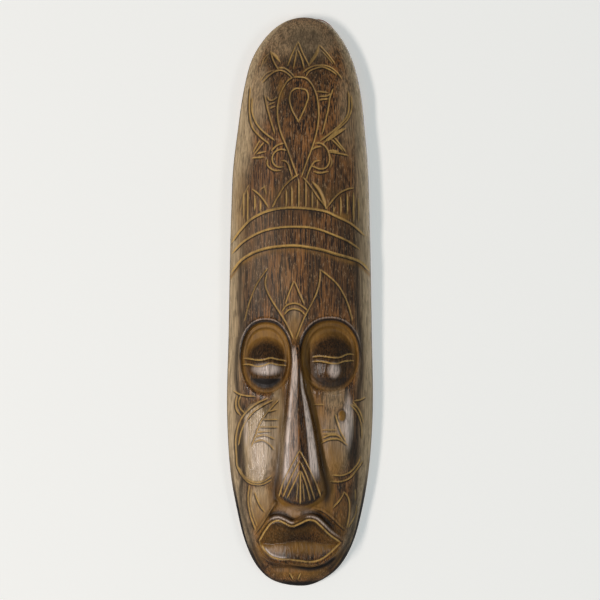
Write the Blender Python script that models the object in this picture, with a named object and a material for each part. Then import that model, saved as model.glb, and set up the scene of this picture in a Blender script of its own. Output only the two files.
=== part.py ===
"""Tall carved wall mask: a hollow-backed wooden face, hung on a bent wire loop held by two screw eyes.

Sizes are in millimetres and are turned into metres as each mesh is made. Points on the mask are given
by x, to the viewer's right of the middle line, by h, the height above the chin, and by depth, the
distance in front of the plane of the back rim. The finished part has +Z up and the face towards -Y,
with its origin where a wall nail bears on the wire.
"""

import math

import bmesh
import bpy
import numpy as np

HEIGHT = 500.0
WALL = 13.0  # wood left round the hollow
HOLLOW_DEPTH = 22.0  # how far the hollow goes in from the back rim
SECTION_POWER = 2.6  # how flat the cross-section is in the middle
SECTION_CORNER = 0.55  # how upright its sides are
RIM_EASE = 7.0  # how far the top of the back rim is cut forward, to clear the wire and the screw eyes
EASE_FROM = 395.0
EASE_TO = 432.0

# The outline seen from the front: height, left edge, right edge.
OUTLINE = [
    (0.0, 1.0, 1.0),
    (5.3, -24.6, 19.5),
    (14.1, -35.2, 31.7),
    (40.5, -48.8, 47.5),
    (66.9, -55.4, 54.6),
    (93.3, -60.3, 59.4),
    (150.0, -64.2, 64.0),
    (226.0, -62.8, 63.2),
    (331.0, -60.5, 61.2),
    (366.0, -59.0, 60.1),
    (401.0, -54.8, 57.2),
    (436.5, -49.3, 52.8),
    (463.0, -42.2, 45.8),
    (480.5, -31.7, 37.0),
    (493.7, -17.6, 25.0),
    (HEIGHT, 3.5, 3.5),
]

WIDTH = max(right - left for _, left, right in OUTLINE)

# The depth of the plain front along the middle line, before the face is carved: height, depth.
CROWN = [
    (0.0, 0.0),
    (10.0, 16.0),
    (40.0, 29.0),
    (100.0, 36.0),
    (200.0, 38.0),
    (320.0, 41.0),
    (400.0, 37.0),
    (450.0, 29.0),
    (480.0, 21.0),
    (HEIGHT, RIM_EASE),
]

# Each eye: centre x and h, socket half-width and half-height, then the same four for the eyeball.
EYES = [
    (-30.8, 200.0, 22.0, 33.0, -30.0, 195.5, 16.5, 22.0),
    (26.8, 202.0, 26.0, 32.5, 28.5, 196.5, 18.5, 22.5),
]
SOCKET_DEPTH = 8.5
SOCKET_LEAN = 3.0  # a socket is this much deeper at its top edge
EYEBALL_BULGE = 10.0

# The nose: height, ridge x, half-width to the left and to the right, and how far it stands out.
NOSE = [
    (66.0, 0.0, 20.0, 21.0, 16.0),
    (85.0, 0.0, 22.0, 22.0, 18.0),
    (102.0, 0.0, 19.5, 16.5, 17.0),
    (137.0, 0.0, 15.5, 11.0, 13.0),
    (172.0, -1.8, 9.5, 7.0, 9.0),
    (200.0, -4.4, 4.0, 4.0, 6.0),
    (222.0, -5.5, 2.5, 2.5, 0.0),
]
NOSE_BASE = 71.0  # height of the lowest point of the nose
NOSE_BASE_RISE = 14.0  # how much higher the wings end
NOSE_HALF = 24.0
NOSE_SLOPE = 0.4  # how far the two roof planes fall from the ridge to the edge, as a share of its height

# Each cheek: centre x and h, half-width, half-height.
CHEEKS = [(-34.0, 126.0, 17.0, 39.0), (32.0, 128.0, 17.0, 38.0)]
CHEEK_RISE = 4.0

# The mouth: x against height for the two lip borders, which meet at the corners.
UPPER_LIP = [
    (-36.0, 38.0),
    (-24.0, 55.5),
    (-18.0, 57.5),
    (-7.0, 53.0),
    (6.0, 57.0),
    (13.0, 57.5),
    (24.0, 46.5),
    (36.0, 38.0),
]
LOWER_LIP = [
    (-36.0, 38.0),
    (-27.0, 25.5),
    (-18.0, 22.5),
    (0.0, 21.5),
    (12.0, 20.0),
    (24.0, 26.0),
    (36.0, 38.0),
]
PARTING = 39.0
LIP_RISE = 8.0
MOUTH_HALF = 37.0

# The wire loop, in a plane parallel to the wall: x and h from the left end round to the right one.
WIRE_RADIUS = 0.45
AXIS_H = 440.0  # height of the line through the two screw eyes, which the loop swings about
AXIS_DEPTH = 4.0  # the whole loop lies this far in front of the rim's plane
HOOK_H = 494.5  # where the loop crosses the middle line, and the part's origin
WIRE_LOOP = [
    (-38.2, 442.2),
    (-37.0, 453.0),
    (-29.5, 472.0),
    (-16.0, 487.0),
    (0.0, HOOK_H),
    (10.0, 498.0),
    (18.0, 498.2),
    (23.0, 496.0),
    (27.0, 492.8),
    (30.0, 489.0),
    (33.0, 483.0),
    (36.0, 475.0),
    (38.0, 465.0),
    (38.5, 453.0),
    (38.2, 442.2),
]
EYE_X = 43.0
EYE_RING = 2.0
EYE_WIRE = 0.6
SHANK_END = 15.0  # depth the shank's point reaches in the wood
HOLE_GAP = 0.3  # room left round each shank in its hole

COLUMNS = 36
HOLLOW_COLUMNS = 12
FACE_TOP = 240.0  # rows are closer together from the chin up to here
FACE_ROWS = 50
FOREHEAD_ROWS = 30
END_ROWS = 6
CHIN_END = 13.0  # height of the round end at the chin
CROWN_END = 16.0  # and at the top

WOOD = ("carved_wood", (0.19, 0.11, 0.055, 1.0), 0.45, 0.0)
WIRE_METAL = ("hanging_wire", (0.42, 0.30, 0.26, 1.0), 0.4, 1.0)
EYE_METAL = ("screw_eye_steel", (0.62, 0.60, 0.56, 1.0), 0.35, 1.0)


def clear_scene():
    for item in list(bpy.data.objects):
        bpy.data.objects.remove(item, do_unlink=True)


def material(spec):
    name, colour, roughness, metallic = spec
    made = bpy.data.materials.new(name)
    made.use_nodes = True
    shader = made.node_tree.nodes["Principled BSDF"]
    shader.inputs["Base Color"].default_value = colour
    shader.inputs["Roughness"].default_value = roughness
    shader.inputs["Metallic"].default_value = metallic
    return made


def to_part(x, depth, h):
    """A point of the mask, in millimetres, as metres in the part's frame."""
    return (x / 1000, (AXIS_DEPTH - depth) / 1000, (h - HOOK_H) / 1000)


def step(low, high, value):
    """A smooth ramp from 0 at low to 1 at high."""
    t = np.clip((value - low) / (high - low), 0.0, 1.0)
    return t * t * (3.0 - 2.0 * t)


def through(points, column, where):
    """A smooth curve of one column of a table against its first column."""
    table = np.array(points, dtype=float)
    xs = table[:, 0]
    ys = table[:, column]
    slopes = np.gradient(ys, xs)
    where = np.clip(where, xs[0], xs[-1])
    i = np.clip(np.searchsorted(xs, where) - 1, 0, len(xs) - 2)
    gap = xs[i + 1] - xs[i]
    t = (where - xs[i]) / gap
    start = ys[i] * (1 + 2 * t) * (1 - t) ** 2 + slopes[i] * gap * t * (1 - t) ** 2
    end = ys[i + 1] * t**2 * (3 - 2 * t) + slopes[i + 1] * gap * t**2 * (t - 1)
    return start + end


def round_ended(points, column, h):
    """The same, measured along a half turn from chin to crown, so that both ends come out round."""
    table = np.array(points, dtype=float)
    table[:, 0] = np.arccos(1 - 2 * table[:, 0] / HEIGHT)
    return through(table, column, np.arccos(1 - 2 * np.clip(h, 0, HEIGHT) / HEIGHT))


def oval(x, h, centre_x, centre_h, half_width, half_height):
    """0 at the centre of an oval and 1 on its edge."""
    return np.hypot((x - centre_x) / half_width, (h - centre_h) / half_height)


def rim_ease(h):
    return RIM_EASE * step(EASE_FROM, EASE_TO, h)


def across(u):
    """The cross-section's height, from 1 in the middle to 0 at both edges."""
    return np.clip(1 - np.abs(u) ** SECTION_POWER, 0.0, 1.0) ** SECTION_CORNER


def eyes(x, h):
    total = np.zeros_like(x)
    for centre_x, centre_h, wide, tall, ball_x, ball_h, ball_wide, ball_tall in EYES:
        edge = oval(x, h, centre_x, centre_h, wide, tall)
        inside = 1 - step(0.74, 1.06, edge)
        deep = SOCKET_DEPTH + SOCKET_LEAN * np.clip((h - centre_h) / tall, -1, 1)
        ball = oval(x, h, ball_x, ball_h, ball_wide, ball_tall)
        total += EYEBALL_BULGE * np.sqrt(np.clip(1 - ball**2, 0, 1)) - deep * inside
    return total


def nose(x, h):
    """A roof-shaped nose: two planes falling from the ridge, then steep sides."""
    side = x - through(NOSE, 1, h)
    width = np.where(side < 0, through(NOSE, 2, h), through(NOSE, 3, h))
    out = np.abs(side) / width
    roof = (1 - NOSE_SLOPE * np.clip(out, 0, 1)) * (1 - step(0.74, 1.22, out))
    base = NOSE_BASE + NOSE_BASE_RISE * (side / NOSE_HALF) ** 2
    return through(NOSE, 4, h) * roof * step(base - 5.0, base + 4.0, h)


def cheeks(x, h):
    total = np.zeros_like(x)
    for centre_x, centre_h, wide, tall in CHEEKS:
        total += CHEEK_RISE * (1 - step(0.70, 1.10, oval(x, h, centre_x, centre_h, wide, tall)))
    return total


def mouth(x, h):
    """Two lips that stand out most along their borders and fall back to the parting between them."""
    top = through(UPPER_LIP, 1, x)
    bottom = through(LOWER_LIP, 1, x)
    border = np.where(h > PARTING, top, bottom)
    out = np.abs(h - PARTING) / np.maximum(np.abs(border - PARTING), 1.0)
    open_width = np.sqrt(np.clip(1 - (x / MOUTH_HALF) ** 2, 0, 1))
    lips = (0.35 + 0.65 * np.clip(out, 0, 1)) * (1 - step(0.95, 1.35, out))
    return LIP_RISE * lips * open_width


def front_depth(x, h, u):
    """How far the carved front stands in front of the rim's plane."""
    ease = rim_ease(h)
    plain = ease + (round_ended(CROWN, 1, h) - ease) * across(u)
    carved = eyes(x, h) + nose(x, h) + cheeks(x, h) + mouth(x, h)
    return plain + carved * (1 - step(0.88, 0.99, np.abs(u)))


def hollow_depth(h, u):
    """How far the hollow goes in; h is the height on the outline that the hollow's edge copies."""
    ease = rim_ease(hollow_height(h))
    deep = HOLLOW_DEPTH * np.sqrt(np.clip(1 - (2 * h / HEIGHT - 1) ** 4, 0, 1))
    return ease + np.maximum(deep - 0.35 * ease, 0.0) * across(u)


def hollow_height(h):
    return WALL + h * (HEIGHT - 2 * WALL) / HEIGHT


def row_heights():
    """Close rows over the face, wider ones over the forehead, and crowded ones at both round ends."""
    ends = 1 - np.cos(np.linspace(0, math.pi / 2, END_ROWS + 1)[:-1])
    face = np.linspace(CHIN_END, FACE_TOP, FACE_ROWS + 1)
    forehead = np.linspace(FACE_TOP, HEIGHT - CROWN_END, FOREHEAD_ROWS + 1)[1:]
    return np.concatenate([CHIN_END * ends, face, forehead, HEIGHT - CROWN_END * ends[::-1]])


def edge_crowded(columns):
    """Places across the mask from -1 to 1, closer together towards both edges."""
    even = np.linspace(-1, 1, columns + 1)
    return 0.45 * even + 0.55 * np.sin(even * math.pi / 2)


def front_points(h):
    left = round_ended(OUTLINE, 1, h)
    right = round_ended(OUTLINE, 2, h)
    u = edge_crowded(COLUMNS)
    x = (left + right) / 2 + (right - left) / 2 * u
    depth = front_depth(x, np.full_like(x, h), u)
    return [to_part(*point) for point in zip(x, depth, np.full_like(x, h))]


def hollow_points(h):
    shrink = 1 - 2 * WALL / WIDTH
    left = shrink * round_ended(OUTLINE, 1, h)
    right = shrink * round_ended(OUTLINE, 2, h)
    u = edge_crowded(HOLLOW_COLUMNS)
    x = (left + right) / 2 + (right - left) / 2 * u
    depth = hollow_depth(h, u)
    return [to_part(a, b, hollow_height(h)) for a, b in zip(x, depth)]


def add_skin(mesh, rows, points_at):
    """A grid of faces over rows of points that shrink to a single point at the first and the last."""
    lines = []
    for number, h in enumerate(rows):
        points = points_at(h)
        if number in (0, len(rows) - 1):
            points = points[:1]
        lines.append([mesh.verts.new(point) for point in points])
    for low, high in zip(lines, lines[1:]):
        for i in range(max(len(low), len(high)) - 1):
            corners = [low[min(i, len(low) - 1)], low[min(i + 1, len(low) - 1)]]
            corners += [high[min(i + 1, len(high) - 1)], high[min(i, len(high) - 1)]]
            mesh.faces.new(list(dict.fromkeys(corners)))
    return lines


def join_edges(mesh, outer, inner):
    """The flat rim between the outline and the hollow's edge, row by row on both sides."""
    for side in (0, -1):
        for low in range(len(outer) - 1):
            corners = [outer[low][side], outer[low + 1][side], inner[low + 1][side], inner[low][side]]
            mesh.faces.new(corners)


def finish_object(name, mesh, spec):
    bmesh.ops.triangulate(mesh, faces=mesh.faces[:], quad_method="SHORT_EDGE")
    bmesh.ops.recalc_face_normals(mesh, faces=mesh.faces[:])
    data = bpy.data.meshes.new(name)
    mesh.to_mesh(data)
    mesh.free()
    data.materials.append(material(spec))
    made = bpy.data.objects.new(name, data)
    bpy.context.scene.collection.objects.link(made)
    return made


def build_mask():
    mesh = bmesh.new()
    rows = row_heights()
    outer = add_skin(mesh, rows, front_points)
    inner = add_skin(mesh, rows, hollow_points)
    join_edges(mesh, outer, inner)
    mask = finish_object("mask_body", mesh, WOOD)
    drill(mask, "hole_left", -EYE_X)
    drill(mask, "hole_right", EYE_X)
    return mask


def drill(mask, name, x):
    """A blind hole in the eased rim for a screw eye's shank."""
    mouth_depth = RIM_EASE - 2.0
    bottom_depth = SHANK_END + HOLE_GAP
    radius = (EYE_WIRE + HOLE_GAP) / 1000
    length = (bottom_depth - mouth_depth) / 1000
    mesh = bmesh.new()
    bmesh.ops.create_cone(mesh, cap_ends=True, segments=12, radius1=radius, radius2=radius, depth=length)
    cutter = finish_object(name, mesh, WOOD)
    cutter.rotation_euler = (math.pi / 2, 0.0, 0.0)
    cutter.location = to_part(x, (mouth_depth + bottom_depth) / 2, AXIS_H)
    cutter.hide_render = True
    cutter.display_type = "WIRE"
    cut = mask.modifiers.new(name, "BOOLEAN")
    cut.operation = "DIFFERENCE"
    cut.solver = "EXACT"
    cut.object = cutter


def along_curve(corners, count):
    """Points of a smooth curve through the corners, spread evenly along its length."""
    corners = np.array(corners, dtype=float)
    length = np.concatenate([[0.0], np.cumsum(np.linalg.norm(np.diff(corners, axis=0), axis=1))])
    table = np.column_stack([length, corners])
    where = np.linspace(0, length[-1], count)
    return np.column_stack([through(table, column, where) for column in (1, 2)])


def bar(name, points, radius, spec):
    """A round bar with closed ends, bent through the given points of the part."""
    curve = bpy.data.curves.new(name, "CURVE")
    curve.dimensions = "3D"
    curve.bevel_depth = radius / 1000
    curve.bevel_resolution = 2
    curve.use_fill_caps = True
    spline = curve.splines.new("POLY")
    spline.points.add(len(points) - 1)
    for place, point in zip(spline.points, points):
        place.co = (*point, 1.0)
    curve.materials.append(material(spec))
    made = bpy.data.objects.new(name, curve)
    bpy.context.scene.collection.objects.link(made)
    return made


def build_wire():
    """The loop, with both ends bent out through the screw eyes and turned up so that they can't slip.

    The object's origin is on the line that the loop swings about.
    """
    end = [(EYE_X + 3.2, AXIS_H + 2.6), (EYE_X + 2.4, AXIS_H + 0.5), (EYE_X + 1.2, AXIS_H)]
    end += [(EYE_X - 1.5, AXIS_H), (EYE_X - 3.4, AXIS_H + 0.3)]
    other_end = [(-x, h) for x, h in end]
    route = along_curve(other_end + WIRE_LOOP + end[::-1], 76)
    points = [(x / 1000, 0.0, (h - AXIS_H) / 1000) for x, h in route]
    wire = bar("hanger_wire", points, WIRE_RADIUS, WIRE_METAL)
    wire.location = to_part(0.0, AXIS_DEPTH, AXIS_H)


def build_screw_eye(name, x):
    """One bar: a straight shank into the wood, then bent round into the ring that the wire runs through."""
    points = [to_part(x, depth, AXIS_H) for depth in (SHANK_END, 11.0, RIM_EASE)]
    for turn in np.radians(np.linspace(30, 330, 19)):
        depth = AXIS_DEPTH + EYE_RING * math.cos(turn)
        points.append(to_part(x, depth, AXIS_H + EYE_RING * math.sin(turn)))
    bar(name, points, EYE_WIRE, EYE_METAL)


clear_scene()
build_mask()
build_wire()
build_screw_eye("screw_eye_left", -EYE_X)
build_screw_eye("screw_eye_right", EYE_X)
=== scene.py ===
"""Looks of the tall carved wall mask: its carved and stained wood, its hanging wire and screw eyes.

Points on the mask are in millimetres: x, to the viewer's right of the middle line, h, the height above
the chin, and depth, the distance in front of the plane of the back rim. The face looks towards -Y.
"""

import math

import bpy
import numpy as np
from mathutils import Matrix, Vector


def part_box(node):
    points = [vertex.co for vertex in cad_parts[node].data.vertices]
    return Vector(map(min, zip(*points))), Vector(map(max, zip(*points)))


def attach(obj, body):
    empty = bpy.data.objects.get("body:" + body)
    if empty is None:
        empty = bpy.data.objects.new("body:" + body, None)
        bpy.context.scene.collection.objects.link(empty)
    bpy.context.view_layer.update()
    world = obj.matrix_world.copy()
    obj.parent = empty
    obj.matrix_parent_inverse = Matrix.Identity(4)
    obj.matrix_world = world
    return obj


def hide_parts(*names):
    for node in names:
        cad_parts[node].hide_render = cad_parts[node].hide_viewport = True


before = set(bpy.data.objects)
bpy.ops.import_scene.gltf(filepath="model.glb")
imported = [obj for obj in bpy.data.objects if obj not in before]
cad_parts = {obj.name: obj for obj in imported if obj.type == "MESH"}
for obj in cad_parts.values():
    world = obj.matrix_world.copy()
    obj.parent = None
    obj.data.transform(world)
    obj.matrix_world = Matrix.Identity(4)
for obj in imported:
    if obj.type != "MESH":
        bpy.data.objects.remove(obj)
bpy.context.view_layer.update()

MASK_LOW, MASK_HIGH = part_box("mask_body")
CHIN_Z = MASK_LOW[2]
RIM_Y = MASK_HIGH[1]
HEIGHT = (MASK_HIGH[2] - MASK_LOW[2]) * 1000

SPACING = 0.5  # between neighbouring points of the carved front
FRONT_GIRTH = 190.0  # length across the carved front, which its points are shared out over
HOLLOW_SPACING = 2.2
HOLLOW_GIRTH = 130.0
CHIN_END = 13.0  # the rows of points crowd together this far up from the chin
CROWN_END = 16.0  # and this far down from the top
END_ROWS = 18
RIM_PLACES = (0.008, 0.025, 0.05, 0.09, 0.25, 0.5, 0.75, 0.91, 0.95, 0.975, 0.992)  # across the back rim

RIM_WIDTH = 13.0  # wood left round the hollow
HOLLOW_DEPTH = 22.0
SECTION_POWER = 2.6  # the higher, the flatter the middle of the cross-section
SECTION_CORNER = 0.55  # the lower, the steeper its two edges
RIM_EASE = 7.0  # how far the top of the back rim is cut forward, to clear the wire
EASE_FROM = 395.0
EASE_TO = 432.0
RIM_ROUND = 1.1  # how far the rim's two edges are worn back from its plane

# The outline seen from the front: height, left edge, right edge.
OUTLINE = [
    (0.0, 1.0, 1.0),
    (5.3, -24.6, 19.5),
    (14.1, -35.2, 31.7),
    (40.5, -48.8, 47.5),
    (66.9, -55.4, 54.6),
    (93.3, -60.3, 59.4),
    (150.0, -64.2, 64.0),
    (226.0, -62.8, 63.2),
    (331.0, -60.5, 61.2),
    (366.0, -59.0, 60.1),
    (401.0, -54.8, 57.2),
    (436.5, -49.3, 52.8),
    (463.0, -42.2, 45.8),
    (480.5, -31.7, 37.0),
    (493.7, -17.6, 25.0),
    (500.0, 3.5, 3.5),
]
WIDTH = 128.2  # of its widest row

# The depth of the plain front along the middle line: height, depth.
CROWN = [
    (0.0, 0.0),
    (10.0, 16.0),
    (40.0, 29.0),
    (100.0, 36.0),
    (200.0, 38.0),
    (320.0, 41.0),
    (400.0, 37.0),
    (450.0, 29.0),
    (480.0, 21.0),
    (500.0, RIM_EASE),
]

# Each eye: centre x and h, socket half-width and half-height, the same four for the eyeball, and how dark
# the painted shade under the eyeball is.
EYES = [
    (-30.0, 201.5, 22.4, 32.2, -29.6, 194.5, 16.0, 19.5, 1.0),
    (26.2, 203.0, 26.3, 32.0, 28.0, 196.5, 18.2, 21.5, 0.84),
]
SOCKET_DEPTH = 6.8
SOCKET_LEAN = 2.2  # a socket is this much deeper at its top edge
EYEBALL_BULGE = 10.0

# The nose: height, ridge x, half-width to the left and to the right, and how far it stands out.
NOSE = [
    (64.0, 0.0, 20.0, 22.0, 12.5),
    (85.0, 0.0, 22.0, 24.0, 14.0),
    (102.0, -0.5, 19.3, 21.0, 13.5),
    (137.0, -1.2, 15.0, 15.5, 11.5),
    (160.0, -1.6, 11.0, 10.5, 9.7),
    (176.0, -1.8, 9.0, 6.0, 8.6),
    (200.0, -2.2, 6.2, 3.6, 6.5),
    (224.0, -5.5, 4.0, 4.0, 0.0),
]
NOSE_BASE = 73.0  # height of the lowest point of the nose
NOSE_BASE_RISE = 14.0  # how much higher the wings end
NOSE_HALF = 24.0
# How high the nose stands from its ridge, 0, to its foot, 1: the left side and the right.
NOSE_LEFT = [(0.0, 1.0), (0.3, 0.97), (0.55, 0.90), (0.8, 0.68), (1.0, 0.0)]
NOSE_RIGHT = [(0.0, 1.0), (0.25, 0.985), (0.47, 0.95), (0.64, 0.86), (0.8, 0.72), (1.0, 0.0)]
NOSE_VALLEY = 1.2  # how far the wood beside the nose is cut back

# Each cheek: centre x and h, half-width, half-height, where its edge starts to fall, how pale, which also
# stands for painted sheen, how shiny.
CHEEKS = [(-35.2, 126.0, 16.8, 37.0, 0.86, 0.9, 1.0), (32.0, 131.0, 16.5, 36.0, 0.5, 0.5, 0.6)]
CHEEK_RISE = 3.6
KNOT = (36.6, 151.0, 3.2, 4.6)  # centre x and h, half-width, half-height

# The mouth: x against height for the two lip borders, which meet at the corners.
MOUTH_CORNER = 35.5
UPPER_LIP = [
    (-MOUTH_CORNER, 41.0),
    (-29.5, 51.5),
    (-24.5, 57.5),
    (-19.0, 59.5),
    (-14.0, 57.5),
    (-7.0, 54.5),
    (0.0, 57.0),
    (7.0, 60.0),
    (12.0, 59.5),
    (17.5, 55.0),
    (25.0, 47.5),
    (MOUTH_CORNER, 39.5),
]
LOWER_LIP = [
    (-MOUTH_CORNER, 41.0),
    (-31.5, 33.5),
    (-26.0, 28.0),
    (-19.0, 25.5),
    (-8.5, 25.0),
    (0.0, 24.0),
    (10.5, 23.0),
    (19.0, 25.5),
    (26.0, 30.5),
    (MOUTH_CORNER, 39.5),
]
PARTING = 40.0  # height of the line between the lips
LIP_RISE = 7.5
MOUTH_HALF = 40.0  # the lips stand out less and less up to this far from the middle

# Kinds of cut: width, depth, length of the tapered ends, how bare its wide wall is, how dark the painted
# shade on its steep one is.
THIN_CUT = (1.6, 0.9, 3.0, 0.8, 0.95)
FAINT_CUT = (1.5, 0.5, 3.0, 0.5, 0.6)
WIDE_CUT = (3.6, 1.3, 8.0, 0.85, 0.9)
FRINGE_CUT = (1.7, 0.8, 5.0, 1.0, 0.9)
LIP_CUT = (1.7, 0.9, 3.0, 1.0, 0.0)
FOLD_CUT = (1.8, 0.9, 6.0, 0.12, 1.0)
BAND_CUT = (1.0, 6.0, 1.0, 0.95)  # without its width, which differs from band to band
BAND_WIDTHS = (2.2, 2.0, 2.6)
STEEP_SIDE = (-0.4, -0.92)  # the direction, as seen from the front, of each cut's steep wall
BARE_SHARE = 0.62  # how much of a cut's width is its wide wall

# What the material reads at each point: a cut's bare wall, bare golden wood, dark stain and painted shade,
# pale wood and painted sheen, wood rubbed almost white together with painted highlights, and shine. Each
# runs from 0 to 1.
TONES = ("line", "ochre", "dark", "pale", "worn", "polish")

FLOOR_Z = CHIN_Z - 1.9  # of the stage, in metres

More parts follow.
